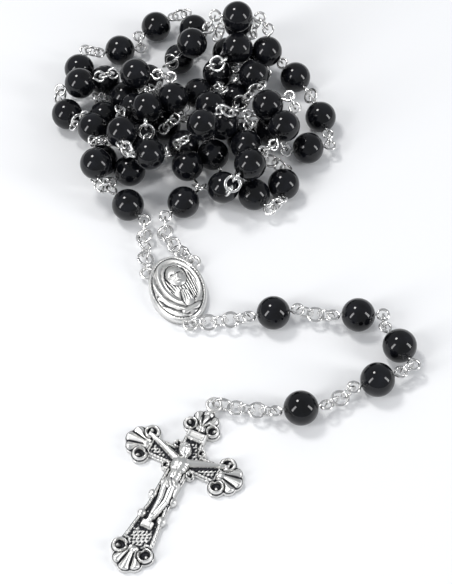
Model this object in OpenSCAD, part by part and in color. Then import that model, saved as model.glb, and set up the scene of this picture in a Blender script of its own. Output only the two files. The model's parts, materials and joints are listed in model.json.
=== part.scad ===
// Rosary of 59 round beads: a loop of five decades heaped on a table, an oval
// centre medal, and a pendant of five beads that ends in a crucifix.
// The origin is the centre of the medal's back face, on the table. +Z is up, and
// +Y runs from the pendant's side of the medal towards the heap.

/* [Beads] */
// Diameter of a bead; everything else keeps its proportion to it
bead_d = 7; // [5:0.5:10]
// Diameter of the bore through a bead, at a bead of 7 mm
bore_d = 0.76; // [0.72:0.02:0.9]

/* [Wire] */
// Diameter of the wire of pins and links, at a bead of 7 mm
wire_d = 0.6; // [0.55:0.01:0.6]
// Outer diameter of a chain link
link_od = 3.8; // [3.7:0.05:3.9]
// Outer diameter of the eye at each end of a pin
eye_od = 2.9; // [2.8:0.05:3]
// Outer diameter of the jump ring that holds the crucifix
jump_ring_od = 4.6; // [4.5:0.05:4.7]

/* [Castings] */
// Height of the medal's oval
medal_h = 17; // [16:0.5:18]
// Width of the medal's oval
medal_w = 12; // [11:0.5:12]
// Width of the crucifix across its arms
cross_w = 25; // [23:0.5:26]
// Thickness of the crucifix's plate
cross_t = 1.6; // [1.2:0.1:1.8]

/* [Hidden] */
$fn = 48;
k = bead_d / 7;
bead_r = 3.5;
wire_r = wire_d / 2;
link_r = link_od / 2 - wire_r;
eye_r = eye_od / 2 - wire_r;
// The jump ring is of slightly thicker wire
jump_wire_r = wire_r * 1.1;
jump_r = jump_ring_od / 2 - jump_wire_r;
// Distance from a bead's centre to the middle of its pin's eyes
eye_at = bead_r + 0.2 + eye_od / 2;
up = [0, 0, 1];

// The heap: about where each bead of the loop was let go, in the order they hang on
// the chain, as x, y and layer (0 on the table, 1 on top). One row is a decade and
// the Our Father bead that follows it.
dropped = [
  [-10, 21, 0], [-17, 29, 0], [-14, 41, 1], [-26, 43, 0], [-22, 53, 0], [-11, 49, 1],
  [0, 46, 1], [-9, 37, 0], [-19, 38, 0], [-11, 29, 0], [-5, 44, 1],

  [-9, 61, 0], [-16, 52, 0], [-23, 60, 0], [-13, 64, 0], [-9, 73, 0], [4, 72, 0],
  [-4, 66, 0], [-1, 56, 1], [10, 63, 1], [20, 62, 0], [6, 52, 0],

  [22, 54, 0], [11, 58, 0], [14, 68, 0], [16, 56, 1], [4, 61, 0], [15, 59, 0],
  [28, 57, 0], [28, 47, 0], [25, 35, 0], [22, 47, 0], [8, 39, 0],

  [21, 28, 0], [10, 25, 0], [16, 34, 0], [18, 46, 1], [21, 36, 1], [11, 30, 1],
  [6, 22, 0], [6, 32, 0], [6, 45, 0], [14, 51, 0], [0, 43, 0],

  [-18, 45, 0], [-7, 54, 0], [-8, 44, 0], [-15, 33, 1], [-5, 31, 1], [0, 38, 0],
  [12, 45, 0], [4, 36, 1], [0, 28, 0], [0, 16, 0]
];
layer_h = 5;
last = len(dropped) - 1;
last_point = 2 * last + 1;
// The two chains from the medal to the loop: x, y, height and roll of each link
left_spots = [
  [-6.5, 5.5, 1.95, 0], [-7, 7.5, 1.7, 72], [-7, 9.5, 1.7, 144],
  [-7.5, 11.5, 1.7, 216], [-7.5, 13.5, 1.7, 288], [-7.5, 15.5, 1.95, 0]
];
right_spots = [
  [2, 8, 1.95, 0], [0.5, 9.5, 1.7, 72], [-1, 11, 1.7, 144],
  [-2.5, 12.5, 1.7, 216], [-3, 14.5, 1.7, 288], [-3, 16.5, 1.95, 0]
];
// The eyes that they end in
left_eye = [-7.5, 17.2, 2.6];
right_eye = [-3, 18.2, 2.6];

// The pendant's beads lie on the table: x, y and heading of the pin
pendant = [[20, -7.5, 10], [37.5, -8, 0], [45.5, -15.5, -60], [40.5, -23.5, -160], [25, -30, -172]];

// The medal is turned a little, and its three eyelets are level with each other
medal_turn = 17;
eyelet_z = 1.4;
eyelet_t = 0.8;
eyelet_hole_r = 0.95;
eyelet_r = 1.7;
upper_eyelet = [medal_w / 2 - 0.9, medal_h / 2 - 2.8];
lower_eyelet = [0, -medal_h / 2 - 0.9];

// The crucifix lies on its back; its bail is the eyelet at the top
cross_turn = -26;
bail_at = [7.8, -28.2];
bail_y = 13.3;
bail_z = 1.6;
bail_hole_r = 1;
bail_r = 1.75;
foot_y = -25.3;

// ---- directions ----
function unit(v) = v / norm(v);
function square_to(v, t) = unit(v - (v * t) * t);
function across(t) = square_to(abs(t.z) < 0.9 ? up : [1, 0, 0], t);
function turned(p, a) = [p.x * cos(a) - p.y * sin(a), p.x * sin(a) + p.y * cos(a)];
function on_medal(p) = let (q = turned(p, medal_turn)) [q.x, q.y, eyelet_z];
function is_our_father(i) = i % 11 == 10;
function gap_links(i) = is_our_father(i) || is_our_father(i + 1) ? 3 : 1;

// ---- how the heap settles ----
// The loop is a string of stiff rods: a pin through each bead, and between two
// beads the one link or three that join them. A point is the middle of an eye:
// point 2i is where bead i's pin begins and point 2i + 1 is where it ends.
pin_len = 2 * eye_at;
function gap_len(i) = gap_links(i) == 1 ? 3.25 : 8;
function gap_shares(i) = gap_links(i) == 1 ? [0.5] : [0.222, 0.5, 0.778];
rods = [for (p = [0:last_point - 1]) p % 2 == 0 ? pin_len : gap_len((p - 1) / 2)];
drop_spots = [for (d = dropped) [d.x, d.y, bead_r + layer_h * d.z]];
drop_ways = [for (i = [0:last]) unit(drop_spots[min(i + 1, last)] - drop_spots[max(i - 1, 0)])];
medal_spots = concat(left_spots, right_spots);
first_points = concat(
  [for (i = [0:last], s = [-1, 1]) drop_spots[i] + s * eye_at * drop_ways[i]],
  [for (m = medal_spots) [m.x, m.y, m.z]]
);
// Every eye, bead and link takes up a ball of room. A ball is the two points that
// carry it, how far it is from one to the other, its radius and its place in line.
eye_ball = eye_od / 2;
link_ball = link_od / 2;
balls = concat(
  [for (p = [0:last_point]) [p, p, 0, eye_ball, p]],
  [for (i = [0:last]) [2 * i, 2 * i + 1, 0.5, bead_r, 2 * i + 0.5]],
  [for (i = [0:last - 1], f = gap_shares(i)) [2 * i + 1, 2 * i + 2, f, link_ball, 2 * i + 1 + f]],
  [for (j = [0:5]) [last_point + 1 + j, last_point + 1 + j, 0, link_ball, j - 6]],
  [for (j = [0:5]) [last_point + 7 + j, last_point + 7 + j, 0, link_ball, last_point + 6 - j]]
);
ball_numbers = [for (s = [0:len(balls) - 1]) s];
// The balls that each point carries, with its share of each
carried = [for (p = [0:last_point]) [for (s = ball_numbers)
  if (balls[s][0] == p) [s, 1 - balls[s][2]] else if (balls[s][1] == p) [s, balls[s][2]]]];
rounds = 700;
relist_every = 50;
spare = 0.15;
// How far everything drops in the first round; it has stopped dropping halfway
fall = 0.02;
function ball_at(points, b) = points[b[0]] * (1 - b[2]) + points[b[1]] * b[2];
function total(list) = len(list) == 0 ? [0, 0, 0] : [for (x = list) 1] * list;
// Neighbours in line share a hook or an eye, so they don't push each other
function apart(a, b) = abs(a[4] - b[4]) > (max(a[3], b[3]) == bead_r ? 0.75 : 1.01);
function close_by(centres) = [for (s = ball_numbers) [for (q = ball_numbers)
  if (q != s && apart(balls[s], balls[q])
    && norm(centres[s] - centres[q]) < balls[s][3] + balls[q][3] + 3) q]];
function shove(s, centres, close) =
  total([for (q = close[s])
    let (v = centres[s] - centres[q], d = norm(v), lap = balls[s][3] + balls[q][3] + spare - d)
    if (lap > 0) v * (0.35 * lap / d)])
  + up * 0.8 * max(0, balls[s][3] + 0.03 - centres[s].z);
function held(points) =
  [for (p = [0:len(points) - 1]) p == 0 ? left_eye : p == last_point ? right_eye : points[p]];
function settle_once(points, close, drop) =
  let (
    centres = [for (b = balls) ball_at(points, b)],
    shoves = [for (s = ball_numbers) shove(s, centres, close)],
    moved = [for (p = [0:last_point]) points[p] + total([for (c = carried[p]) shoves[c[0]] * c[1]]) - up * drop],
    pulls = [for (p = [0:last_point - 1])
      let (v = moved[p + 1] - moved[p], d = norm(v)) v * (0.45 * (d - rods[p]) / d)]
  )
  held(concat(
    [for (p = [0:last_point]) moved[p] + (p < last_point ? pulls[p] : up * 0) - (p > 0 ? pulls[p - 1] : up * 0)],
    [for (m = medal_spots) [m.x, m.y, m.z]]
  ));
function settle(points, close = [], round = 0) =
  round == rounds ? points :
  let (list = round % relist_every > 0 ? close : close_by([for (b = balls) ball_at(points, b)]))
  settle(settle_once(points, list, fall * max(0, 1 - 2 * round / rounds)), list, round + 1);
points = settle(held(first_points));
function eye_in(i) = points[2 * i];
function eye_out(i) = points[2 * i + 1];
function heap_way(i) = unit(eye_out(i) - eye_in(i));
function heap_spot(i) = (eye_out(i) + eye_in(i)) / 2;

// ---- how the links of the heap lie ----
// A link is its centre and the normal of its plane. The plane holds the way u from
// eye to eye, and is square to the bend of the pin at each end as nearly as it can be.
function bend_side(c, u) = norm(c) > 0.05 ? square_to(c, u) : across(u);
function like(c, d) = c * d < 0 ? -d : d;
function gap_run(i) =
  let (
    a = eye_out(i), b = eye_in(i + 1), u = unit(b - a),
    out_bend = cross(heap_way(i), u), in_bend = cross(u, heap_way(i + 1)),
    out_normal = cross(bend_side(out_bend, u), u),
    in_normal = like(out_normal, cross(bend_side(in_bend, u), u))
  )
  gap_links(i) == 1
    ? [[(a + b) / 2, cross(bend_side(out_bend + like(out_bend, in_bend), u), u)]]
    : [
      [a + (b - a) * gap_shares(i)[0], out_normal],
      [(a + b) / 2, cross(u, unit(out_normal + in_normal))],
      [a + (b - a) * gap_shares(i)[2], in_normal]
    ];
runs = [for (i = [0:last - 1]) gap_run(i)];
// An eye faces the link that runs through it
function eye_normal(e, t, link) = square_to(cross(link[1], unit(e - link[0])), t);

// ---- the chains that lie on the table ----
// Links between a and b, with the height and the roll of each one given. first and
// final are the level steps from a to the first link and from the last one to b.
function level(v) = [v.x, v.y, 0];
function rolled(u, roll) = cross(u, up) * cos(roll) + cross(cross(u, up), u) * sin(roll);
function laid(a, b, first, final, lie) =
  let (n = len(lie), d = norm(level(b - a)), u = unit(level(b - a)), step = n > 1 ? (d - first - final) / (n - 1) : 0)
  [for (j = [0:n - 1])
    [level(a) + u * (first + j * step) + up * lie[j][0], rolled(u, lie[j][1])]];

function pin_way(b) = [cos(b[2]), sin(b[2]), 0];
function pin_centre(b) = [b.x, b.y, bead_r];
pendant_out = [for (b = pendant) pin_centre(b) + eye_at * pin_way(b)];
pendant_in = [for (b = pendant) pin_centre(b) - eye_at * pin_way(b)];
// One link that hangs below the line between two eyes
function hooked(a, b) =
  let (u = unit(b - a), half = norm(b - a) / 2, drop = sqrt(max(link_r * link_r - half * half, 0)))
  [[(a + b) / 2 - up * drop, cross(u, up)]];
bail = [bail_at.x, bail_at.y, bail_z];
jump_way = unit(level(pendant_out[4] - bail));
jump_ring_link = [level(bail) + jump_way * 1.83 + up * 2.4, cross(jump_way, up)];
// Height and roll of every link of the pendant, from the medal to the crucifix
pendant_runs = [
  laid(on_medal(lower_eyelet), pendant_in[0], 1.5, 1.5, [[1.95, 0], [1.8, 80], [2.1, 0], [2.5, 80], [2.8, 0]]),
  laid(pendant_out[0], pendant_in[1], 1.5, 1.5, [[2.8, 0], [2.5, 90], [2.8, 0]]),
  hooked(pendant_out[1], pendant_in[2]),
  hooked(pendant_out[2], pendant_in[3]),
  laid(pendant_out[3], pendant_in[4], 1.4, 1.4, [[2.8, 0], [2.5, 90], [2.8, 0]]),
  laid(pendant_out[4], jump_ring_link[0], 1.5, 2.7, [[2.8, 0], [2.5, 90], [2.1, 0], [1.95, 80]])
];
pendant_links = [for (r = pendant_runs) each r];
// A chain through given spots; each link lies along the way from the last to the next
function through(spots, a, b) =
  let (n = len(spots) - 1, ends = concat([a], [for (m = spots) [m.x, m.y, m.z]], [b]))
  [for (j = [0:n]) [ends[j + 1], rolled(unit(level(ends[j + 2] - ends[j])), spots[j][3])]];
left_run = through(left_spots, on_medal([-upper_eyelet.x, upper_eyelet.y]), left_eye);
right_run = through(right_spots, on_medal(upper_eyelet), right_eye);
function before(r) = r[len(r) - 1];

decades = [0:4];
our_fathers = [0:3];
NODES = concat(
  ["medal", "crucifix", "jump_ring", "medal_links_left", "medal_links_right"],
  [for (i = [1:5]) each [str("pendant_bead_", i), str("pendant_pin_", i)]],
  [for (i = [1:17]) str("pendant_link_", i)],
  [for (i = [1:5]) each [str("decade_", i, "_beads"), str("decade_", i, "_pins"), str("decade_", i, "_links")]],
  [for (i = [1:4]) each [str("our_father_bead_", i), str("our_father_pin_", i), str("our_father_links_", i)]]
);
node = "all";
function wanted(name) = node == "all" || node == name;

// ---- placing ----
// Puts a piece's own +Z along n, its centre at c
module along(c, n) {
  a = across(n);
  b = cross(n, a);
  multmatrix([[a.x, b.x, n.x, c.x], [a.y, b.y, n.y, c.y], [a.z, b.z, n.z, c.z]]) children();
}

// ---- wire ----
module ring(r, thick = wire_r) {
  rotate_extrude() translate([r, 0]) circle(r = thick, $fn = 24);
}

module links_of(list) {
  color("silver") for (link = list) along(link[0], link[1]) ring(link_r);
}

// An eye pin: a straight wire through the bead with an eye at each end
module eye_pin(c, t, normal_out, normal_in) {
  shank = 2 * (eye_at - eye_r);
  color("silver") {
    along(c, t) translate([0, 0, -shank / 2]) cylinder(h = shank, r = wire_r, $fn = 24);
    along(c + eye_at * t, normal_out) ring(eye_r);
    along(c - eye_at * t, normal_in) ring(eye_r);
  }
}

// ---- beads ----
// A polished ball with a drilled bore and a small chamfer at each of its mouths
module bead(c, t) {
  mouth_r = bore_d / 2 + 0.25;
  mouth_h = 0.3;
  color([0.03, 0.03, 0.04]) along(c, t) difference() {
    sphere(r = bead_r);
    cylinder(h = 3 * bead_r, d = bore_d, center = true, $fn = 32);
    for (flip = [0, 1]) mirror([0, 0, flip])
      translate([0, 0, bead_r - mouth_h]) cylinder(h = 2 * mouth_h, r1 = bore_d / 2, r2 = 2 * mouth_r - bore_d / 2, $fn = 32);
  }
}

// ---- castings ----
module eyelet(c, r, hole_r, z, t) {
  translate([c.x, c.y, z - t / 2]) difference() {
    cylinder(h = t, r = r);
    translate([0, 0, -t]) cylinder(h = 3 * t, r = hole_r);
  }
}

module oval(w, h, z0, t) {
  translate([0, 0, z0]) linear_extrude(t) polygon([for (a = [0:6:354]) [w / 2 * cos(a), h / 2 * sin(a)]]);
}

// Oval medal with a raised rim and the veiled head and joined hands in low relief
module medal() {
  rim = 0.9;
  field_z = 1.1;
  color("silver") scale(k) rotate(medal_turn) difference() {
    union() {
      oval(medal_w, medal_h, 0, field_z);
      difference() {
        oval(medal_w, medal_h, 0, 1.8);
        oval(medal_w - 2 * rim, medal_h - 2 * rim, field_z, 2);
      }
      for (x = [-upper_eyelet.x, upper_eyelet.x]) eyelet([x, upper_eyelet.y], eyelet_r, eyelet_hole_r, eyelet_z, eyelet_t);
      eyelet(lower_eyelet, eyelet_r, eyelet_hole_r, eyelet_z, eyelet_t);
      intersection() {
        oval(medal_w - 1, medal_h - 1, 0, 4);
        union() {
          // veil, face, shoulder and hands
          translate([-0.8, 2.6, -1.8]) sphere(r = 4.2);
          translate([-0.3, 2.2, 0.9]) sphere(r = 1.9);
          translate([-0.8, -3.6, -3.4]) sphere(r = 5.4);
          translate([1.6, -2.6, 1]) rotate([0, 60, 65]) cylinder(h = 3, r = 0.7, center = true, $fn = 24);
        }
      }
    }
    for (x = [-upper_eyelet.x, upper_eyelet.x]) translate([x, upper_eyelet.y, -1]) cylinder(h = 6, r = eyelet_hole_r);
    translate([lower_eyelet.x, lower_eyelet.y, -1]) cylinder(h = 6, r = eyelet_hole_r);
  }
}

// The leafy end of an arm, pointing along +Y from the arm's last straight part
module leaf_end(w) {
  for (s = [-1, 1]) {
    translate([s * w * 0.62, 0.6]) circle(r = w * 0.42);
    translate([s * w * 0.36, 2.7]) circle(r = w * 0.34);
  }
  translate([0, 3.2]) circle(r = w * 0.42);
  translate([-w / 2, -1]) square([w, 3.6]);
}

// Two scrolls that fill a corner between the shaft and an arm
module corner_scroll() {
  translate([2.6, 2.6]) circle(r = 0.95);
  translate([1.4, 1.4]) circle(r = 1.3);
}

module cross_outline() {
  shaft_w = 4.2;
  arm = cross_w / 2 - 4.8;
  translate([-shaft_w / 2, foot_y + 4]) square([shaft_w, 7.2 - foot_y]);
  translate([-arm, -shaft_w / 2]) square([2 * arm, shaft_w]);
  for (s = [-1, 1]) rotate(-90 * s) translate([0, arm]) leaf_end(shaft_w);
  translate([0, foot_y + 4.8]) rotate(180) leaf_end(shaft_w);
  translate([0, 7.2]) leaf_end(shaft_w * 0.9);
  for (a = [0:90:270]) rotate(a) corner_scroll();
  // bosses on the lower shaft
  for (s = [-1, 1], y = [-9, -13.5]) translate([s * shaft_w / 2, y]) circle(r = 0.9);
}

// A limb lies level, with a slightly thicker ball at its far end
module limb(a, b, z, r) {
  way = unit([b.x - a.x, b.y - a.y, 0]);
  along([a.x, a.y, z], way) cylinder(h = norm(b - a), r = r, $fn = 24);
  translate([b.x, b.y, z]) sphere(r = 1.15 * r, $fn = 24);
}

// The figure on the cross: head leaning to its right, arms raised to the nails
module corpus() {
  skin_z = cross_t + 0.3;
  translate([-0.7, 1.8, skin_z + 0.8]) sphere(r = 1.3, $fn = 32);
  limb([0, -6], [0, -1.6], skin_z, 1.2);
  for (s = [-1, 1]) {
    limb([s * 0.5, -0.9], [s * 7.8, 2], skin_z, 0.55);
    limb([s * 0.5, -6], [s * 0.6 + 0.4, -9.8], skin_z, 0.75);
    limb([s * 0.6 + 0.4, -9.6], [s * 0.1, -14.2], skin_z, 0.5);
  }
  // loincloth and footrest
  translate([-1.6, -7, 0]) cube([3.4, 1.9, cross_t + 1.1]);
  translate([-1.1, -16, 0]) cube([2.2, 1.5, cross_t + 0.8]);
}

module crucifix() {
  color("silver") scale(k) translate([bail_at.x, bail_at.y, 0]) rotate(cross_turn) translate([0, -bail_y, 0]) {
    difference() {
      union() {
        linear_extrude(cross_t) cross_outline();
        eyelet([0, bail_y], bail_r, bail_hole_r, bail_z, eyelet_t);
        translate([-0.7, bail_y - 3.4, 0]) cube([1.4, 2.2, cross_t]);
      }
      translate([0, bail_y, -1]) cylinder(h = 6, r = bail_hole_r);
    }
    corpus();
    // blank title plate above the head
    translate([-1.9, 4.4, 0]) cube([3.8, 2, cross_t + 0.5]);
  }
}

module jump_ring() {
  color("silver") scale(k) along(jump_ring_link[0], jump_ring_link[1]) ring(jump_r, jump_wire_r);
}

// ---- the pieces of the pendant ----
// First links of the runs that follow and precede each bead of the pendant
after_links = [for (i = [1:5]) pendant_runs[i][0]];
before_links = [for (i = [0:4]) before(pendant_runs[i])];

module pendant_bead(i) {
  scale(k) bead(pin_centre(pendant[i]), pin_way(pendant[i]));
}

module pendant_pin(i) {
  t = pin_way(pendant[i]);
  scale(k) eye_pin(pin_centre(pendant[i]), t,
    eye_normal(pendant_out[i], t, after_links[i]), eye_normal(pendant_in[i], t, before_links[i]));
}

module pendant_link(i) {
  scale(k) links_of([pendant_links[i]]);
}

// ---- the pieces of the loop ----
module loop_bead(i) {
  scale(k) bead(heap_spot(i), heap_way(i));
}

module loop_pin(i) {
  t = heap_way(i);
  out_link = i == last ? before(right_run) : runs[i][0];
  in_link = i == 0 ? before(left_run) : before(runs[i - 1]);
  scale(k) eye_pin(heap_spot(i), t, eye_normal(eye_out(i), t, out_link), eye_normal(eye_in(i), t, in_link));
}

module decade_beads(d) {
  for (i = [11 * d:11 * d + 9]) loop_bead(i);
}

module decade_pins(d) {
  for (i = [11 * d:11 * d + 9]) loop_pin(i);
}

module decade_links(d) {
  scale(k) for (i = [11 * d:11 * d + 8]) links_of(runs[i]);
}

// The three links on each side of an Our Father bead
module our_father_links(j) {
  scale(k) for (i = [11 * j + 9, 11 * j + 10]) links_of(runs[i]);
}

if (wanted("medal")) medal();
if (wanted("crucifix")) crucifix();
if (wanted("jump_ring")) jump_ring();
if (wanted("medal_links_left")) scale(k) links_of(left_run);
if (wanted("medal_links_right")) scale(k) links_of(right_run);
for (i = [0:4]) if (wanted(str("pendant_bead_", i + 1))) pendant_bead(i);
for (i = [0:4]) if (wanted(str("pendant_pin_", i + 1))) pendant_pin(i);
for (i = [0:len(pendant_links) - 1]) if (wanted(str("pendant_link_", i + 1))) pendant_link(i);
for (d = decades) if (wanted(str("decade_", d + 1, "_beads"))) decade_beads(d);
for (d = decades) if (wanted(str("decade_", d + 1, "_pins"))) decade_pins(d);
for (d = decades) if (wanted(str("decade_", d + 1, "_links"))) decade_links(d);
for (j = our_fathers) if (wanted(str("our_father_bead_", j + 1))) loop_bead(11 * j + 10);
for (j = our_fathers) if (wanted(str("our_father_pin_", j + 1))) loop_pin(11 * j + 10);
for (j = our_fathers) if (wanted(str("our_father_links_", j + 1))) our_father_links(j);
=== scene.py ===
# A rosary of polished black beads on silver wire, heaped on a table, with an oval
# centre medal and a crucifix. The sections follow the way it is put together: beads,
# the eye pins through them, the links that join the pins, the medal, the crucifix.
import math
import bmesh
import bpy
import numpy as np
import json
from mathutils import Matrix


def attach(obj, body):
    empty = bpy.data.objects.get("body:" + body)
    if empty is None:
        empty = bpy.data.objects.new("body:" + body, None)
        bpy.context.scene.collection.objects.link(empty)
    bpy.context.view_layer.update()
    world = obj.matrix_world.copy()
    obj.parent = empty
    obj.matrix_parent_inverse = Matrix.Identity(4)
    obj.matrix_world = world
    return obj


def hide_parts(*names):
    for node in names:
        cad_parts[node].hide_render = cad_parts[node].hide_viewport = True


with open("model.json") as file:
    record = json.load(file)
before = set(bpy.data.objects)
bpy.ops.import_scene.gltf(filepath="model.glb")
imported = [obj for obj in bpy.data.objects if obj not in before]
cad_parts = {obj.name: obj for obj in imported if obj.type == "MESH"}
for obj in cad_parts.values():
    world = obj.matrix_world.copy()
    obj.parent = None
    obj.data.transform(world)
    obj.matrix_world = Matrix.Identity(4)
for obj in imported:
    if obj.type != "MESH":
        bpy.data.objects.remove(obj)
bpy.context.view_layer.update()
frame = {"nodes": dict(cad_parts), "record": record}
MM = 0.001

# ---- The table, the camera and the studio lights ----
# A plain near-white table top. One round lamp stands high behind on the left and
# throws the shadows; two tall soft boxes in front draw the long glints on the beads.
camera_target = np.array([10.2, 0.1, 0.0]) * MM
camera_height_angle = math.radians(55.7)
camera_distance = 0.290
camera_data = bpy.data.cameras.new("camera")
camera_data.lens = 84.4
camera_data.sensor_width = 36.0
camera_data.clip_start = 0.01
lamp_aim = np.array([0.008, 0.012, 0.0])
camera = bpy.data.objects.new("camera", camera_data)
bpy.context.scene.collection.objects.link(camera)
camera.location = camera_target + camera_distance * np.array(
    [0.0, -math.cos(camera_height_angle), math.sin(camera_height_angle)])
camera.rotation_euler = (math.pi / 2 - camera_height_angle, 0.0, 0.0)
bpy.context.scene.camera = camera
bpy.context.scene.view_settings.view_transform = "Standard"

world = bpy.data.worlds.new("studio")
world.use_nodes = True
world.node_tree.nodes["Background"].inputs["Color"].default_value = (0.93, 0.96, 1.0, 1.0)
world.node_tree.nodes["Background"].inputs["Strength"].default_value = 0.42
bpy.context.scene.world = world


def facing(aim):
    """The turn that points a lamp along aim."""
    aim = aim / np.linalg.norm(aim)
    tilt = math.acos(-aim[2])
    heading = math.atan2(aim[1], aim[0]) - math.pi / 2
    return (tilt, 0.0, heading)


def studio_light(name, shape, size, size_y, watts, place, colour):
    """A soft lamp that points at the middle of the heap, its size and place in metres."""
    lamp = bpy.data.lights.new(name, "AREA")
    lamp.shape = shape
    lamp.size = size
    lamp.size_y = size_y
    lamp.energy = watts
    lamp.color = colour
    holder = bpy.data.objects.new(name, lamp)
    bpy.context.scene.collection.objects.link(holder)
    holder.location = place
    holder.rotation_euler = facing(lamp_aim - np.array(place))


studio_light("key_lamp", "DISK", 0.20, 0.20, 2.3, (-0.29, 0.26, 0.72), (1.0, 0.99, 0.97))
studio_light("left_box", "RECTANGLE", 0.13, 0.46, 1.9, (-0.46, -0.27, 0.33), (1.0, 1.0, 1.0))
studio_light("right_box", "RECTANGLE", 0.13, 0.40, 1.6, (0.55, -0.16, 0.28), (1.0, 1.0, 1.0))

table_half = 3.0
table_drop = 0.00003
table = bpy.data.meshes.new("table")
table.from_pydata(
    [(-table_half, -table_half, -table_drop), (table_half, -table_half, -table_drop),
     (table_half, table_half, -table_drop), (-table_half, table_half, -table_drop)],
    [], [(0, 1, 2, 3)])
table_top = bpy.data.objects.new("table_top", table)
bpy.context.scene.collection.objects.link(table_top)
table_finish = bpy.data.materials.new("white_table")
table_finish.use_nodes = True
table_shader = table_finish.node_tree.nodes["Principled BSDF"]
table_shader.inputs["Base Color"].default_value = (0.93, 0.935, 0.95, 1.0)
table_shader.inputs["Roughness"].default_value = 0.6
table_shader.inputs["Specular IOR Level"].default_value = 0.25
table.materials.append(table_finish)

# ---- The beads ----
# Fifty-nine round beads of black onyx, turned, drilled through and polished to a high
# gloss. Each mouth of the bore is eased, so that the wire doesn't chip it.
bead_radius = 3.5
bore_radius = 0.38
mouth_radius = 0.63
bead_sides = 48
bead_arc_steps = 33
ball_skin = 0.04


def solids_of(node):
    """The separate solids of a node, each as an array of its corners in mm."""
    part = frame["nodes"][node]
    shell = bmesh.new()
    shell.from_mesh(part.data)
    shell.transform(part.matrix_world)
    bmesh.ops.remove_doubles(shell, verts=shell.verts, dist=1e-7)
    shell.verts.ensure_lookup_table()
    shell.verts.index_update()
    seen = set()
    found = []
    for start in shell.verts:
        if start.index in seen:
            continue
        seen.add(start.index)
        waiting = [start]
        corners = []
        while waiting:
            corner = waiting.pop()
            corners.append(tuple(corner.co))
            for edge in corner.link_edges:
                other = edge.other_vert(corner)
                if other.index not in seen:
                    seen.add(other.index)
                    waiting.append(other)
        found.append(np.array(corners) / MM)
    shell.free()
    return found


def spread_of(points):
    """The middle of the points, and the directions they spread in, the least first."""
    middle = points.mean(axis=0)
    ways = np.linalg.eigh(np.cov((points - middle).T))[1]
    return middle, ways.T


def frame_along(way):
    """Two directions square to way and to each other."""
    way = way / np.linalg.norm(way)
    start = np.array([0.0, 0.0, 1.0]) if abs(way[2]) < 0.9 else np.array([1.0, 0.0, 0.0])
    first = start - way * np.dot(start, way)
    first = first / np.linalg.norm(first)
    return first, np.cross(way, first)


def body_holding(node):
    """The name of the body that carries a node."""
    for body, held in frame["record"]["behaviour"]["bodies"].items():
        if node in held:
            return body
    return None


def make_piece(name, shells, finish, node):
    """Joins shells of (corners in mm, faces) into one piece that stands for node."""
    corners = []
    faces = []
    for shell_corners, shell_faces in shells:
        shift = len(corners)
        corners.extend((np.asarray(shell_corners) * MM).tolist())
        faces.extend([[i + shift for i in face] for face in shell_faces])
    mesh = bpy.data.meshes.new(name)
    mesh.from_pydata(corners, [], faces)
    mesh.validate()
    mesh.polygons.foreach_set("use_smooth", [True] * len(mesh.polygons))
    mesh.materials.append(finish)
    piece = bpy.data.objects.new(name, mesh)
    bpy.context.scene.collection.objects.link(piece)
    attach(piece, body_holding(node))
    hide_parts(node)
    return piece


def skin(rows, sides, closed):
    """Faces between rows of corners, where every row is a ring of so many sides."""
    faces = []
    for row in range(rows if closed else rows - 1):
        upper = (row + 1) % rows
        for i in range(sides):
            j = (i + 1) % sides
            faces.append([row * sides + i, row * sides + j, upper * sides + j, upper * sides + i])
    return faces


def lathe(profile, centre, way, sides):
    """A closed profile of (radius, height) turned round way."""
    first, second = frame_along(way)
    way = way / np.linalg.norm(way)
    turn = np.arange(sides) * 2 * math.pi / sides
    rim = np.cos(turn)[:, None] * first + np.sin(turn)[:, None] * second
    corners = np.concatenate([centre + radius * rim + height * way for radius, height in profile])
    return corners, skin(len(profile), sides, True)


def bead_profile():
    """Half of the bead's cut, as (radius, height): bore, eased lower mouth, ball, upper mouth."""
    mouth_angle = math.asin(mouth_radius / bead_radius)
    arc = np.linspace(math.pi - mouth_angle, mouth_angle, bead_arc_steps)
    ball = [(bead_radius * math.sin(a), bead_radius * math.cos(a)) for a in arc]
    eased = [(bore_radius, 3.2), (bore_radius + 0.06, 3.33), (mouth_radius - 0.08, 3.42)]
    lower = [(radius, -height) for radius, height in eased]
    return [(bore_radius, 0.0)] + lower + ball + eased[::-1]


def bead_place(corners):
    """A drilled bead's centre, and the way that its bore runs."""
    ball_rows = np.column_stack([2 * corners, np.ones(len(corners))])
    centre = np.linalg.lstsq(ball_rows, (corners ** 2).sum(axis=1), rcond=None)[0][:3]
    inner = corners[np.linalg.norm(corners - centre, axis=1) < bead_radius - ball_skin]
    return centre, spread_of(inner)[1][2]


def nodes_and_links(finish):
    """Opens a material for its finish: its nodes, its links and its shader."""
    finish.use_nodes = True
    tree = finish.node_tree
    return tree.nodes, tree.links, tree.nodes["Principled BSDF"]


def grain(nodes, links, size, detail):
    """Noise that lies in the piece itself, size of its lumps in mm."""
    where = nodes.new("ShaderNodeTexCoord")
    noise = nodes.new("ShaderNodeTexNoise")
    noise.inputs["Scale"].default_value = 1 / (size * MM)
    noise.inputs["Detail"].default_value = detail
    links.new(where.outputs["Object"], noise.inputs["Vector"])
    return noise


def spread_between(nodes, links, source, low, high, source_low=0.3, source_high=0.7):
    """Carries source over from its own range, by default the middle of a noise, to low to high."""
    span = nodes.new("ShaderNodeMapRange")
    span.inputs["From Min"].default_value = source_low
    span.inputs["From Max"].default_value = source_high
    span.inputs["To Min"].default_value = low
    span.inputs["To Max"].default_value = high
    links.new(source, span.inputs["Value"])
    return span.outputs["Result"]


def two_tones(nodes, links, shader, source, tones):
    """Colours the shader by source, between two (value of source, colour) pairs."""
    ramp = nodes.new("ShaderNodeValToRGB")
    for element, (at, colour) in zip(ramp.color_ramp.elements, tones):
        element.position = at
        element.color = (*colour, 1.0)
    links.new(source, ramp.inputs["Fac"])
    links.new(ramp.outputs["Color"], shader.inputs["Base Color"])


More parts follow.
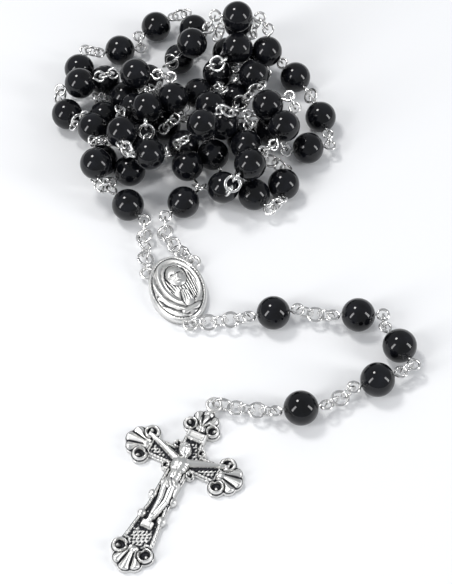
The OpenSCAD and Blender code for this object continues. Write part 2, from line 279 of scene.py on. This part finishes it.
def raised(nodes, links, shader, source, strength, depth):
    """Roughens the surface by source, with lumps of the given depth in mm."""
    bump = nodes.new("ShaderNodeBump")
    bump.inputs["Strength"].default_value = strength
    bump.inputs["Distance"].default_value = depth * MM
    links.new(source, bump.inputs["Height"])
    links.new(bump.outputs["Normal"], shader.inputs["Normal"])


black_onyx = bpy.data.materials.new("black_onyx")
onyx_nodes, onyx_links, onyx_shader = nodes_and_links(black_onyx)
onyx_cloud = grain(onyx_nodes, onyx_links, 2.6, 4.0)
onyx_tones = ((0.35, (0.0022, 0.0023, 0.003)), (0.75, (0.0085, 0.0092, 0.0125)))
two_tones(onyx_nodes, onyx_links, onyx_shader, onyx_cloud.outputs["Fac"], onyx_tones)
onyx_polish = grain(onyx_nodes, onyx_links, 0.7, 2.0)
onyx_links.new(
    spread_between(onyx_nodes, onyx_links, onyx_polish.outputs["Fac"], 0.035, 0.085),
    onyx_shader.inputs["Roughness"])
onyx_shader.inputs["IOR"].default_value = 1.54
onyx_shader.inputs["Specular IOR Level"].default_value = 0.32
raised(onyx_nodes, onyx_links, onyx_shader, onyx_cloud.outputs["Fac"], 0.10, 0.03)

bead_turned = bead_profile()


def string_beads(name, node):
    """Turns one bead for each solid of the node, on the axis of its bore."""
    shells = []
    for corners in solids_of(node):
        centre, bore_way = bead_place(corners)
        shells.append(lathe(bead_turned, centre, bore_way, bead_sides))
    make_piece(name, shells, black_onyx, node)


for decade in range(1, 6):
    string_beads("hail_mary_beads_%d" % decade, "decade_%d_beads" % decade)
for place in range(1, 5):
    string_beads("our_father_bead_of_loop_%d" % place, "our_father_bead_%d" % place)
for place in range(1, 6):
    string_beads("bead_of_pendant_%d" % place, "pendant_bead_%d" % place)

# ---- The eye pins ----
# Silver-plated wire, one length through each bead. Round-nosed pliers bend both ends
# into an eye; the cut end of the wire closes back on the neck and leaves a fine gap.
wire_radius = 0.3
eye_radius = 1.15
eye_distance = 5.15
eye_starts = 166
eye_stops = -156
eye_steps = 30
neck_bend = 1.45
neck_offset = 0.12
neck_straight = 1.72
wire_sides = 14


def drawn_wire(path, closed, section):
    """A wire of the given cross-section, as (outward, sideways) offsets, along path."""
    count = len(path)
    if closed:
        ways = np.roll(path, -1, axis=0) - np.roll(path, 1, axis=0)
    else:
        ways = np.gradient(path, axis=0)
    ways = ways / np.linalg.norm(ways, axis=1)[:, None]
    side = frame_along(ways[0])[0]
    corners = []
    for spot, way in zip(path, ways):
        side = side - way * np.dot(side, way)
        side = side / np.linalg.norm(side)
        other = np.cross(way, side)
        corners.append(spot + section[:, :1] * side + section[:, 1:] * other)
    sides = len(section)
    faces = skin(count, sides, closed)
    if not closed:
        faces.append(list(range(sides))[::-1])
        faces.append([(count - 1) * sides + i for i in range(sides)])
    return np.concatenate(corners), faces


round_turn = np.arange(wire_sides) * 2 * math.pi / wire_sides
round_section = wire_radius * np.column_stack([np.cos(round_turn), np.sin(round_turn)])


def pin_path(centre, way, flats):
    """The middle of the wire, from one cut end, round its eye, through the bead and back."""
    path = []
    for sign, flat in ((-1, flats[0]), (1, flats[1])):
        eye = centre + sign * eye_distance * way
        turn = np.radians(np.linspace(eye_starts, eye_stops, eye_steps))
        loop = [eye + eye_radius * (math.cos(a) * sign * way + math.sin(a) * flat) for a in turn]
        neck = [eye - sign * way * neck_bend - flat * neck_offset, eye - sign * way * neck_straight]
        path.extend(loop + neck if sign < 0 else neck[::-1] + loop[::-1])
    return np.array(path)


def eyes_along(corners, way):
    """The corners of a pin's two eyes, and how far along way the pin's middle lies."""
    along = corners @ way
    middle = (along.max() + along.min()) / 2
    beyond = eye_distance - eye_radius
    return [corners[(along - middle) * sign > beyond] for sign in (-1, 1)], middle


def bend_pins(name, node):
    """Bends one pin for each solid of the node, with its eyes turned as that solid's are."""
    shells = []
    for corners in solids_of(node):
        eyes = eyes_along(corners, spread_of(corners)[1][2])[0]
        ends = [eye.mean(axis=0) for eye in eyes]
        way = (ends[1] - ends[0]) / np.linalg.norm(ends[1] - ends[0])
        eyes, middle = eyes_along(corners, way)
        centre = (ends[0] + ends[1]) / 2
        centre = centre + way * (middle - centre @ way)
        flats = []
        for eye in eyes:
            across = eye - centre
            across = across - np.outer(across @ way, way)
            flats.append(np.linalg.eigh(across.T @ across)[1].T[2])
        shells.append(drawn_wire(pin_path(centre, way, flats), False, round_section))
    make_piece(name, shells, silver_plate, node)


silver_plate = bpy.data.materials.new("silver_plate")
plate_nodes, plate_links, plate_shader = nodes_and_links(silver_plate)
plate_cloud = grain(plate_nodes, plate_links, 1.4, 5.0)
plate_tones = ((0.3, (0.66, 0.655, 0.65)), (0.65, (0.90, 0.895, 0.885)))
two_tones(plate_nodes, plate_links, plate_shader, plate_cloud.outputs["Fac"], plate_tones)
plate_shader.inputs["Metallic"].default_value = 1.0
plate_wear = grain(plate_nodes, plate_links, 0.25, 3.0)
plate_links.new(
    spread_between(plate_nodes, plate_links, plate_wear.outputs["Fac"], 0.10, 0.26),
    plate_shader.inputs["Roughness"])
raised(plate_nodes, plate_links, plate_shader, plate_wear.outputs["Fac"], 0.22, 0.02)

for decade in range(1, 6):
    bend_pins("eye_pins_%d" % decade, "decade_%d_pins" % decade)
for place in range(1, 5):
    bend_pins("our_father_eye_pin_%d" % place, "our_father_pin_%d" % place)
for place in range(1, 6):
    bend_pins("pendant_eye_pin_%d" % place, "pendant_pin_%d" % place)

# ---- The links ----
# Round links of the same wire, pressed a little flat on both faces. Each is opened
# sideways, hooked through two eyes and closed, which leaves a butt joint in the wire.
press_sides = 16
press_turn = np.arange(press_sides) * 2 * math.pi / press_sides
link_steps = 57
seam_angle = math.radians(3.2)
seam_nip = 0.72
seam_turn = 2.4
first_seam = 0.9


def pressed_section(outward, flatness):
    """The pressed wire's cross-section, from its half width and half thickness."""
    wide = np.sign(np.cos(press_turn)) * np.abs(np.cos(press_turn)) ** 0.8
    thick = np.sign(np.sin(press_turn)) * np.abs(np.sin(press_turn)) ** 0.7
    return np.column_stack([outward * wide, flatness * thick])


def closed_link(centre, normal, radius, outward, flatness, seam_at):
    """A ring of pressed wire, nipped in a little where its two ends meet."""
    first, second = frame_along(normal)
    turn = np.linspace(0, 2 * math.pi, link_steps)[:-1] + seam_at
    turn = np.concatenate([[seam_at - seam_angle, seam_at, seam_at + seam_angle], turn[2:-1]])
    section = pressed_section(outward, flatness)
    normal = normal / np.linalg.norm(normal)
    corners = []
    for step, a in enumerate(turn):
        nip = seam_nip if step == 1 else 1.0
        ray = math.cos(a) * first + math.sin(a) * second
        corners.append(centre + radius * ray + nip * (section[:, :1] * ray + section[:, 1:] * normal))
    return np.concatenate(corners), skin(len(turn), len(section), True)


def close_links(name, node, outward, flatness):
    """Closes one link for each solid of the node; the joint moves round from link to link."""
    shells = []
    for count, corners in enumerate(solids_of(node)):
        centre, ways = spread_of(corners)
        normal = ways[0]
        flat = corners - centre
        flat = flat - np.outer(flat @ normal, normal)
        reach = np.linalg.norm(flat, axis=1)
        radius = (reach.max() + reach.min()) / 2
        seam_at = seam_turn * count + first_seam
        shells.append(closed_link(centre, normal, radius, outward, flatness, seam_at))
    make_piece(name, shells, silver_plate, node)


link_wide = 0.31
link_thick = 0.25
jump_ring_wide = 0.33
jump_ring_thick = 0.31
for decade in range(1, 6):
    close_links("links_%d" % decade, "decade_%d_links" % decade, link_wide, link_thick)
for place in range(1, 5):
    close_links("our_father_chain_%d" % place, "our_father_links_%d" % place, link_wide, link_thick)
for hand in ("left", "right"):
    close_links("medal_chain_" + hand, "medal_links_" + hand, link_wide, link_thick)
for place in range(1, 18):
    close_links("chain_link_%d" % place, "pendant_link_%d" % place, link_wide, link_thick)
close_links("crucifix_jump_ring", "jump_ring", jump_ring_wide, jump_ring_thick)

# ---- The centre medal ----
# Cast in one piece, silver plated and darkened with oxide that stays in the hollows:
# a raised rim, a veiled woman with joined hands in relief, three cast eyelets.
medal_turn = math.radians(17)
medal_half = (6.0, 8.5)
medal_step = 0.075
medal_edge_z = 1.25
medal_top = 2.75
field_z = 1.05
rim_z = 1.8
rim_middle = 0.45
eyelet_radius = 1.325
eyelet_wire = 0.375
eyelet_z = 1.4
upper_eyelets = ((-5.1, 5.7), (5.1, 5.7))
lower_eyelet = (0.0, -9.4)


def dome(x, y, cx, cy, rx, ry, lean=0.0):
    """1 at the middle of a leaning ellipse, 0 at its edge, rounded like a pebble."""
    c = math.cos(math.radians(lean))
    s = math.sin(math.radians(lean))
    u = ((x - cx) * c + (y - cy) * s) / rx
    v = (-(x - cx) * s + (y - cy) * c) / ry
    return np.sqrt(np.clip(1 - u ** 2 - v ** 2, 0, None))


def rod(x, y, ax, ay, bx, by, ra, rb):
    """A rounded bar from a to b, its height in mm above its own middle."""
    dx = bx - ax
    dy = by - ay
    share = np.clip(((x - ax) * dx + (y - ay) * dy) / (dx * dx + dy * dy), 0, 1)
    off = np.hypot(x - ax - share * dx, y - ay - share * dy)
    radius = ra + (rb - ra) * share
    return np.sqrt(np.clip(radius ** 2 - off ** 2, 0, None))


def pit(x, y, cx, cy, rx, ry):
    """1 at a point, falling away softly on all sides."""
    return np.exp(-((x - cx) / rx) ** 2 - ((y - cy) / ry) ** 2)


def smooth(value, low, high):
    """0 below low, 1 above high, and an even curve between them."""
    t = np.clip((value - low) / (high - low), 0, 1)
    return t * t * (3 - 2 * t)


def leaning(x, y, cx, cy, lean):
    """Coordinates measured from a point, in a frame that leans with the piece."""
    c = math.cos(math.radians(lean))
    s = math.sin(math.radians(lean))
    return (x - cx) * c + (y - cy) * s, -(x - cx) * s + (y - cy) * c


def laid(height, shape, level, rise):
    """The relief with a shape laid on it, its edge at level."""
    return np.maximum(height, np.where(shape > 0, level + rise * shape, 0))


def calm_face(u, v):
    """A small plain face, half of it 1 wide and 1.35 high, as a height; -1 beside it."""
    shape = np.sqrt(np.clip(1 - u ** 2 - (v / 1.35) ** 2, 0, None))
    face = 0.62 * shape
    # sockets, closed lids and cheeks, then nose, lips and chin
    for side in (-1, 1):
        face = face - 0.15 * pit(u, v, side * 0.42, 0.14, 0.27, 0.15)
        face = face + 0.07 * pit(u, v, side * 0.42, 0.08, 0.19, 0.07)
        face = face + 0.05 * pit(u, v, side * 0.45, -0.30, 0.25, 0.22)
    face = face + 0.17 * pit(u, v, 0, -0.12, 0.11, 0.30)
    face = face + 0.06 * pit(u, v, 0, -0.62, 0.26, 0.07)
    face = face - 0.06 * pit(u, v, 0, -0.74, 0.22, 0.04)
    face = face + 0.05 * pit(u, v, 0, -0.98, 0.22, 0.14)
    return np.where(shape > 0, face, -1.0)


def medal_edge(x, y):
    """About how far a point lies outside the oval, in mm; less than 0 within it."""
    a, b = medal_half
    e = np.sqrt((x / a) ** 2 + (y / b) ** 2) + 1e-9
    steep = np.sqrt((x / a ** 2) ** 2 + (y / b ** 2) ** 2) / e + 1e-9
    return (e - 1) / steep


def medal_height(x, y, edge):
    """The medal's relief: finely milled rim, mantle, veil, hair, face, joined hands."""
    inward = -edge
    around = np.arctan2(y / medal_half[1], x / medal_half[0])
    height = field_z + 0.03 * np.cos(9 * x) * np.cos(9 * y)
    rim = rim_z - 0.30 * ((inward - rim_middle) / rim_middle) ** 2
    rim = rim + 0.05 * np.cos(around * 64) * smooth(inward, rim_middle, 0.8)
    height = np.maximum(height, field_z + (rim - field_z) * (1 - smooth(inward, 0.65, 1.25)))
    inside = smooth(inward, 0.40, 1.05)
    # shoulders and the mantle over them, in long folds
    shoulder = dome(x, y, -0.3, -5.4, 5.6, 5.4, 10)
    fold_way = 0.62 * x + (y + 4) - 0.05 * x * x
    mantle = 1.15 + 0.80 * shoulder + 0.13 * np.cos(fold_way * 3.6) * smooth(shoulder, 0.05, 0.35)
    mantle = field_z + (mantle - field_z) * inside
    height = np.where(shoulder > 0, np.maximum(height, mantle), height)
    # veil, with folds that fall on both sides of the head
    veil = dome(x, y, -0.1, 0.2, 5.6, 8.2, 4)
    vu, vv = leaning(x, y, 0.45, 2.75, 14)
    round_head = np.sqrt((vu / 1.05) ** 2 + ((vv + 1.4) / 1.65) ** 2)
    hood = 1.35 + 0.65 * veil + 0.10 * np.cos(round_head * 5.0) * smooth(veil, 0.05, 0.3)
    height = np.where(veil > 0, np.maximum(height, field_z + (hood - field_z) * inside), height)
    # the hollow that the veil frames, then hair in strands, then the face
    opening = np.sqrt(np.clip(1 - (vu / 3.0) ** 2 - ((vv + 1.9) / 5.1) ** 2, 0, None))
    strand_way = 8.0 * np.abs(vu) / (0.80 + 0.05 * vv) + 0.4 * vv
    strands = 1.58 + 0.35 * opening + 0.08 * np.cos(strand_way)
    height = np.where(opening > 0.05, strands, height)
    lip = np.exp(-((opening - 0.10) / 0.16) ** 2) * (veil > 0)
    height = height + 0.20 * lip
    height = laid(height, rod(x, y, 0.2, 0.2, -0.5, -3.4, 1.15, 1.2), 1.45, 0.40)
    face = calm_face((vu - 0.05) / 2.10, (vv - 0.15) / 2.10)
    height = np.where(face > -0.5, np.maximum(height - 0.12, 1.66 + 1.45 * face), height)
    # collar of the mantle, crossing below the neck
    height = laid(height, rod(x, y, -4.3, -1.6, 0.2, -6.0, 0.62, 0.75), 1.55, 0.75)
    # joined hands, raised towards the chin, and the cuff under them
    hu, hv = leaning(x, y, 1.35, -3.2, 6)
    hu = hu / 1.25
    hv = hv / 1.3
    palm = dome(hu, hv, 0, -0.35, 1.05, 1.45)
    height = np.where(palm > 0, np.maximum(height - 0.2, 1.75 + 0.60 * palm), height)
    for finger in range(4):
        across = -0.66 + 0.42 * finger
        tip_v = 1.75 - 0.5 * abs(across + 0.1)
        height = laid(height, rod(hu, hv, across * 1.05, -0.4, across * 0.72, tip_v, 0.25, 0.19), 1.98, 1.6)
    cuff = rod(hu, hv, -1.5, -2.25, 1.35, -1.75, 0.62, 0.55)
    height = np.maximum(height, np.where(cuff > 0, (1.75 + 0.85 * cuff) * inside, 0))
    return np.minimum(height, medal_top)


blur_rounds = 8
hollow_depth = 0.10
edge_ease = 0.32
worn_bright = -0.5
loop_bright = -0.4


def cast_plate(edge_of, height_of, half_x, low_y, high_y, step, edge_z):
    """A casting with a flat back: its corners in mm, faces and how deep each corner lies.

    edge_of gives the outline, height_of the relief, edge_z the height of the outer edge.
    """
    xs = np.arange(-half_x, half_x + step / 2, step)
    ys = np.arange(low_y, high_y + step / 2, step)
    x, y = np.meshgrid(xs, ys, indexing="ij")
    edge = edge_of(x, y)
    mid = (edge[:-1, :-1] + edge[1:, :-1] + edge[:-1, 1:] + edge[1:, 1:]) / 4
    kept = mid < 0
    height = height_of(x, y, edge)
    blurred = np.where(edge < 0, height, edge_z)
    for _ in range(blur_rounds):
        padded = np.pad(blurred, 2, mode="edge")
        blurred = (padded[:-4, 2:-2] + padded[4:, 2:-2] + padded[2:-2, :-4] + padded[2:-2, 4:]
                   + padded[1:-3, 2:-2] + padded[3:-1, 2:-2] + padded[2:-2, 1:-3] + padded[2:-2, 3:-1]) / 8
    recess = np.clip((blurred - height) / hollow_depth, -1, 1)
    ease = np.clip(-edge / edge_ease, 0, 1)
    height = edge_z + (height - edge_z) * np.sqrt(1 - (1 - ease) ** 2)
    # corners that the plate uses; those along its border slide onto the exact outline
    used = np.zeros(x.shape, bool)
    full = np.zeros(x.shape, int)
    for i, j in ((0, 0), (1, 0), (1, 1), (0, 1)):
        view = (slice(i, i + kept.shape[0]), slice(j, j + kept.shape[1]))
        used[view] |= kept
        full[view] += kept
    border = used & (full < 4)
    slope_x = np.gradient(edge, step, axis=0)
    slope_y = np.gradient(edge, step, axis=1)
    steep = slope_x ** 2 + slope_y ** 2 + 1e-9
    move = np.where(border, np.clip(edge / np.sqrt(steep), -step, step) / np.sqrt(steep), 0)
    x = x - move * slope_x
    y = y - move * slope_y
    height = np.where(border, edge_z, height)
    recess = np.where(border, worn_bright, recess)
    number = np.full(x.shape, -1)
    number[used] = np.arange(used.sum())
    count = int(used.sum())
    front = np.column_stack([x[used], y[used], height[used]])
    back = np.column_stack([x[used], y[used], np.zeros(count)])
    a = number[:-1, :-1][kept]
    b = number[1:, :-1][kept]
    c = number[1:, 1:][kept]
    d = number[:-1, 1:][kept]
    top = np.column_stack([a, b, c, d])
    faces = np.concatenate([top, top[:, ::-1] + count])
    # walls wherever a kept square has no kept neighbour
    walls = []
    pad = np.pad(kept, 1)
    for shift, first, second in (((0, -1), a, b), ((1, 0), b, c), ((0, 1), c, d), ((-1, 0), d, a)):
        across = slice(1 + shift[0], pad.shape[0] - 1 + shift[0])
        along = slice(1 + shift[1], pad.shape[1] - 1 + shift[1])
        open_side = ~pad[across, along][kept]
        p = first[open_side]
        q = second[open_side]
        walls.append(np.column_stack([p, p + count, q + count, q]))
    faces = np.concatenate([faces] + walls)
    hollow = np.concatenate([recess[used], np.full(count, worn_bright)])
    return np.concatenate([front, back]), faces, hollow


def placed(corners, turn, at):
    """Corners turned on the table and moved to their place."""
    c = math.cos(turn)
    s = math.sin(turn)
    x = corners[:, 0] * c - corners[:, 1] * s + at[0]
    y = corners[:, 0] * s + corners[:, 1] * c + at[1]
    return np.column_stack([x, y, corners[:, 2]])


def cast_eyelet(at, radius, thick, level):
    """A cast loop that lies level with the plate, as corners and faces."""
    steps = 48
    turn = np.arange(steps) * 2 * math.pi / steps
    path = np.column_stack(
        [at[0] + radius * np.cos(turn), at[1] + radius * np.sin(turn), np.full(steps, level)])
    section = thick * np.column_stack([np.cos(round_turn), np.sin(round_turn)])
    return drawn_wire(path, True, section)


def casting(name, plate, extras, turn, at, node):
    """One cast piece of its plate and loops, with the depth of its hollows kept for the finish."""
    corners, faces, hollow = plate
    shells = [(placed(corners, turn, at), faces.tolist())]
    depth = [hollow]
    for loop_corners, loop_faces in extras:
        shells.append((placed(loop_corners, turn, at), loop_faces))
        depth.append(np.full(len(loop_corners), loop_bright))
    piece = make_piece(name, shells, old_silver, node)
    kept = piece.data.attributes.new("hollow", "FLOAT", "POINT")
    kept.data.foreach_set("value", np.concatenate(depth).astype(np.float32))


old_silver = bpy.data.materials.new("oxidised_silver")
old_nodes, old_links, old_shader = nodes_and_links(old_silver)
old_shader.inputs["Metallic"].default_value = 1.0
old_hollow = old_nodes.new("ShaderNodeAttribute")
old_hollow.attribute_name = "hollow"
old_stain = grain(old_nodes, old_links, 0.8, 5.0)
old_stain_amount = spread_between(old_nodes, old_links, old_stain.outputs["Fac"], -0.16, 0.16)
old_sum = old_nodes.new("ShaderNodeMath")
old_sum.operation = "ADD"
old_links.new(old_hollow.outputs["Fac"], old_sum.inputs[0])
old_links.new(old_stain_amount, old_sum.inputs[1])
old_tones = ((0.0, (0.80, 0.795, 0.78)), (0.62, (0.045, 0.046, 0.052)))
two_tones(old_nodes, old_links, old_shader, old_sum.outputs["Value"], old_tones)
old_links.new(
    spread_between(old_nodes, old_links, old_sum.outputs["Value"], 0.33, 0.55, -0.3, 0.5),
    old_shader.inputs["Roughness"])
old_grit = grain(old_nodes, old_links, 0.16, 3.0)
raised(old_nodes, old_links, old_shader, old_grit.outputs["Fac"], 0.2, 0.015)

medal_plate = cast_plate(medal_edge, medal_height, 6.3, -8.8, 8.8, medal_step, medal_edge_z)
medal_loops = [
    cast_eyelet(at, eyelet_radius, eyelet_wire, eyelet_z) for at in upper_eyelets + (lower_eyelet,)]
casting("centre_medal", medal_plate, medal_loops, medal_turn, (0.0, 0.0), "medal")

# ---- The crucifix ----
# Cast like the medal: a cross with scrolled, leafy ends and a roped edge round a dark
# ground, a blank title plate, and the figure in high relief. A jump ring holds its bail.
cross_turn = math.radians(-26)
bail_at = (7.8, -28.2)
bail_y = 13.3
bail_radius = 1.375
bail_wire = 0.375
bail_z = 1.6
cross_step = 0.105
cross_edge_z = 1.05
cross_top = 4.0
arm_end = 7.7
foot_end = -20.5
head_end = 7.2
shaft_half = 2.1
leaf_width = 4.2
curl_out = 0.6
curl_side = 0.62
curl_radius = 0.42
corner_curl_at = 2.6
corner_curl_radius = 0.95
stud_levels = (-9.0, -13.5)
stud_radius = 0.9


def box_edge(x, y, low_x, high_x, low_y, high_y):
    """How far a point lies outside a rectangle; less than 0 within it."""
    dx = np.maximum(low_x - x, x - high_x)
    dy = np.maximum(low_y - y, y - high_y)
    outside = np.hypot(np.maximum(dx, 0), np.maximum(dy, 0))
    return outside + np.minimum(np.maximum(dx, dy), 0)


def leafy_ends(x, y):
    """The four ends in turn: coordinates from the end's root, pointing out, and its size."""
    yield y - head_end, x, 0.9
    yield x - arm_end, y, 1.0
    yield -x - arm_end, y, 1.0
    yield foot_end - y, x, 1.0


def leaf_edge(out, side, size):
    """How far a point lies outside a leafy end: two curls, two lobes and a tip."""
    w = leaf_width * size
    edge = box_edge(side, out, -w / 2, w / 2, -1.0, 2.6)
    for s in (-1, 1):
        edge = np.minimum(edge, np.hypot(side - s * w * curl_side, out - curl_out) - w * curl_radius)
        edge = np.minimum(edge, np.hypot(side - s * w * 0.36, out - 2.7) - w * 0.36)
    return np.minimum(edge, np.hypot(side, out - 3.2) - w * 0.42)


def cross_edge(x, y):
    """How far a point lies outside the cross's outline."""
    edge = box_edge(x, y, -shaft_half, shaft_half, foot_end - 0.8, 11.2)
    edge = np.minimum(edge, box_edge(x, y, -arm_end, arm_end, -shaft_half, shaft_half))
    for out, side, size in leafy_ends(x, y):
        edge = np.minimum(edge, leaf_edge(out, side, size))
    for sx in (-1, 1):
        for sy in (-1, 1):
            corner = np.hypot(x - sx * corner_curl_at, y - sy * corner_curl_at)
            edge = np.minimum(edge, corner - corner_curl_radius)
            edge = np.minimum(edge, np.hypot(x - sx * 1.4, y - sy * 1.4) - 1.3)
        for level in stud_levels:
            edge = np.minimum(edge, np.hypot(x - sx * shaft_half, y - level) - stud_radius)
    # the foot that widens, the round shield behind the head, the neck of the bail
    flare = np.abs(x) - shaft_half - np.clip((-11.0 - y) / 8.5, 0, 1) * 1.1
    edge = np.minimum(edge, np.maximum(flare * 0.99, np.abs(y + 15.25) - 4.25))
    edge = np.minimum(edge, np.hypot(x, y - 1.0) - 3.4)
    return np.minimum(edge, box_edge(x, y, -0.75, 0.75, 9.8, 12.3))


def scroll(x, y, cx, cy, radius, hand):
    """A curled leaf: a thick C-shaped lip round a deep hollow with a small boss in it."""
    u = (x - cx) / radius
    v = (y - cy) / radius
    off = np.hypot(u, v)
    lip = np.exp(-((off - 0.70) / 0.20) ** 2)
    gap = pit(u, v, -0.62 * hand, -0.45, 0.34, 0.30)
    boss = pit(u, v, 0.22 * hand, 0.12, 0.24, 0.26)
    return np.where(off < 1, np.clip(lip * (1 - 0.75 * gap) + 0.85 * boss, 0, 1), 0)


def cross_ground(x, y, edge):
    """The cross without its figure: stippled ground, roped edge, leafy ends, curls, studs."""
    inward = -edge
    stipple = np.cos(7.1 * x + 3.3 * y) + np.cos(8.3 * y - 4.4 * x) + np.cos(9.7 * x - 1.9 * y)
    ground = 0.92 + 0.05 * stipple
    rope = 1.52 + 0.10 * np.cos((x + y) * 9.0)
    band = np.exp(-((inward - 0.42) / 0.26) ** 4)
    height = ground + (rope - ground) * band
    for out, side, size in leafy_ends(x, y):
        w = leaf_width * size
        near = leaf_edge(out, side, size)
        fan = np.arctan2(side, out + 1.6)
        ribs = 1.05 + 0.75 * np.abs(np.cos(fan * 8.0)) ** 0.7 * smooth(-near, 0.0, 0.5)
        leaf = (out > -0.2) & (near < 0)
        height = np.where(leaf, np.maximum(height * 0.75, ribs), height)
        for s in (-1, 1):
            curl = scroll(side, out, s * w * curl_side, curl_out, w * curl_radius, s)
            there = np.hypot(side - s * w * curl_side, out - curl_out) < w * curl_radius
            height = np.where(there, 0.65 + 1.30 * curl, height)
        height = laid(height, dome(side, out, 0, 0.5, 0.62, 0.95), 1.15, 0.75)
    for sx in (-1, 1):
        for sy in (-1, 1):
            cx = sx * corner_curl_at
            cy = sy * corner_curl_at
            curl = scroll(x, y, cx, cy, corner_curl_radius, sx * sy)
            there = np.hypot(x - cx, y - cy) < corner_curl_radius
            height = np.where(there, 0.75 + 1.05 * curl, height)
        for level in stud_levels:
            stud = dome(x, y, sx * shaft_half, level, stud_radius, stud_radius)
            height = laid(height, stud, 1.15, 0.65)
    return height


def title_plate(x, y, height):
    """Lays on the blank plate above the head, with a lip and rolled ends."""
    inside = -box_edge(x, y, -1.95, 1.95, 4.45, 6.25)
    plate = 1.95 + 0.12 * smooth(np.abs(x), 1.2, 1.9)
    lipped = plate + 0.12 * np.exp(-((inside - 0.18) / 0.12) ** 2)
    height = np.where(inside > 0, lipped, height)
    for s in (-1, 1):
        height = laid(height, rod(x, y, s * 1.9, 4.6, s * 1.9, 6.1, 0.34, 0.34), 1.75, 1.2)
    return height


def figure(x, y):
    """The figure on the cross: arms raised a little, head leaning, knees bent, feet crossed."""
    height = np.zeros_like(x)
    # upper arm, forearm, hand and fingers, then thigh, shin and foot
    for s in (-1, 1):
        height = laid(height, rod(x, y, s * 1.2, -0.5, s * 4.4, 0.75, 0.70, 0.52), 1.65, 1.05)
        height = laid(height, rod(x, y, s * 4.4, 0.75, s * 7.2, 1.75, 0.50, 0.34), 1.65, 1.05)
        height = laid(height, rod(x, y, s * 7.2, 1.75, s * 7.9, 2.0, 0.44, 0.36), 1.6, 1.0)
        for finger in range(3):
            tip_y = 2.45 - 0.33 * finger
            root_y = 2.1 - 0.12 * finger
            height = laid(height, rod(x, y, s * 7.9, root_y, s * 8.6, tip_y, 0.17, 0.13), 1.6, 1.2)
        knee_x = s * 0.52 + 0.55
        ankle_x = s * 0.22 + 0.15
        height = laid(height, rod(x, y, s * 0.62 + 0.1, -6.4, knee_x, -9.7, 0.86, 0.66), 1.8, 1.1)
        height = laid(height, rod(x, y, knee_x, -9.7, ankle_x, -13.5, 0.66, 0.40), 1.75, 1.1)
        height = laid(height, rod(x, y, ankle_x, -13.5, -s * 0.22, -14.9, 0.44, 0.34), 1.85, 1.1)
    # chest, waist, ribs and navel
    chest = dome(x, y, 0.0, -1.7, 1.75, 1.9)
    height = laid(height, chest, 1.85, 0.95)
    waist = dome(x, y, 0.12, -4.2, 1.18, 2.3)
    height = laid(height, waist, 1.85, 0.80)
    torso = (chest > 0.25) | (waist > 0.25)
    ribs = 0.05 * np.cos(y * 7.4 + 0.9 * np.abs(x)) * smooth(np.abs(x), 0.2, 0.7)
    belly = 0.10 * pit(x, y, 0.12, -4.3, 0.12, 0.14) + 0.05 * np.exp(-((x - 0.05) / 0.12) ** 2)
    height = np.where(torso & (y < -1.1) & (y > -5.2), height + ribs - belly, height)
    for s in (-1, 1):
        height = height + 0.10 * pit(x, y, s * 0.72, -1.35, 0.55, 0.35)
    # loincloth with its hanging end
    cloth = dome(x, y, 0.2, -6.2, 1.85, 1.35)
    folds = 2.05 + 0.85 * cloth + 0.10 * np.cos((x * 1.6 + y * 1.1 - 0.25 * x * x) * 5.0)
    height = np.where(cloth > 0.15, np.maximum(height, folds), height)
    height = laid(height, rod(x, y, 1.75, -5.6, 2.05, -8.0, 0.42, 0.30), 1.9, 1.0)
    # neck, hair, face, beard and the crown of thorns
    height = laid(height, rod(x, y, 0.0, 0.4, -0.4, 0.9, 0.55, 0.5), 1.85, 1.0)
    hu, hv = leaning(x, y, -0.62, 1.85, 20)
    hair = np.sqrt(np.clip(1 - (hu / 1.22) ** 2 - ((hv + 0.1) / 1.55) ** 2, 0, None))
    locks = 1.9 + 0.85 * hair + 0.09 * np.cos(np.arctan2(hu, hv + 0.8) * 15)
    height = np.where(hair > 0.1, np.maximum(height, locks), height)
    face = calm_face(hu / 0.74, (hv + 0.05) / 0.78)
    height = np.where(face > -0.5, np.maximum(height - 0.12, 2.35 + 1.35 * face), height)
    height = laid(height, dome(hu, hv, 0, -0.92, 0.48, 0.42), 2.45, 0.35)
    crown = np.exp(-((hv - 0.72 - 0.25 * hu * hu) / 0.17) ** 2) * (hair > 0.15)
    return height + crown * (0.22 + 0.10 * np.cos(hu * 16))


def cross_height(x, y, edge):
    """The crucifix's whole relief: ground, shell at the top, title, footrest, figure."""
    height = cross_ground(x, y, edge)
    shell_fan = np.arctan2(x, y - 7.6)
    shell = dome(x, y, 0, 9.3, 1.25, 1.5)
    height = np.where(shell > 0, 1.3 + 0.5 * shell + 0.22 * np.cos(shell_fan * 11), height)
    height = title_plate(x, y, height)
    inside = -box_edge(x, y, -1.1, 1.1, -16.0, -14.6)
    footrest = 1.9 + 0.25 * smooth(inside, 0, 0.3)
    height = np.where(inside > 0, np.maximum(height, footrest), height)
    return np.minimum(np.maximum(height, figure(x, y)), cross_top)


cross_plate = cast_plate(cross_edge, cross_height, 12.9, -25.8, 12.6, cross_step, cross_edge_z)
cross_bail = [cast_eyelet((0.0, bail_y), bail_radius, bail_wire, bail_z)]
cross_origin = (
    bail_at[0] + math.sin(cross_turn) * bail_y,
    bail_at[1] - math.cos(cross_turn) * bail_y,
)
casting("crucifix_casting", cross_plate, cross_bail, cross_turn, cross_origin, "crucifix")
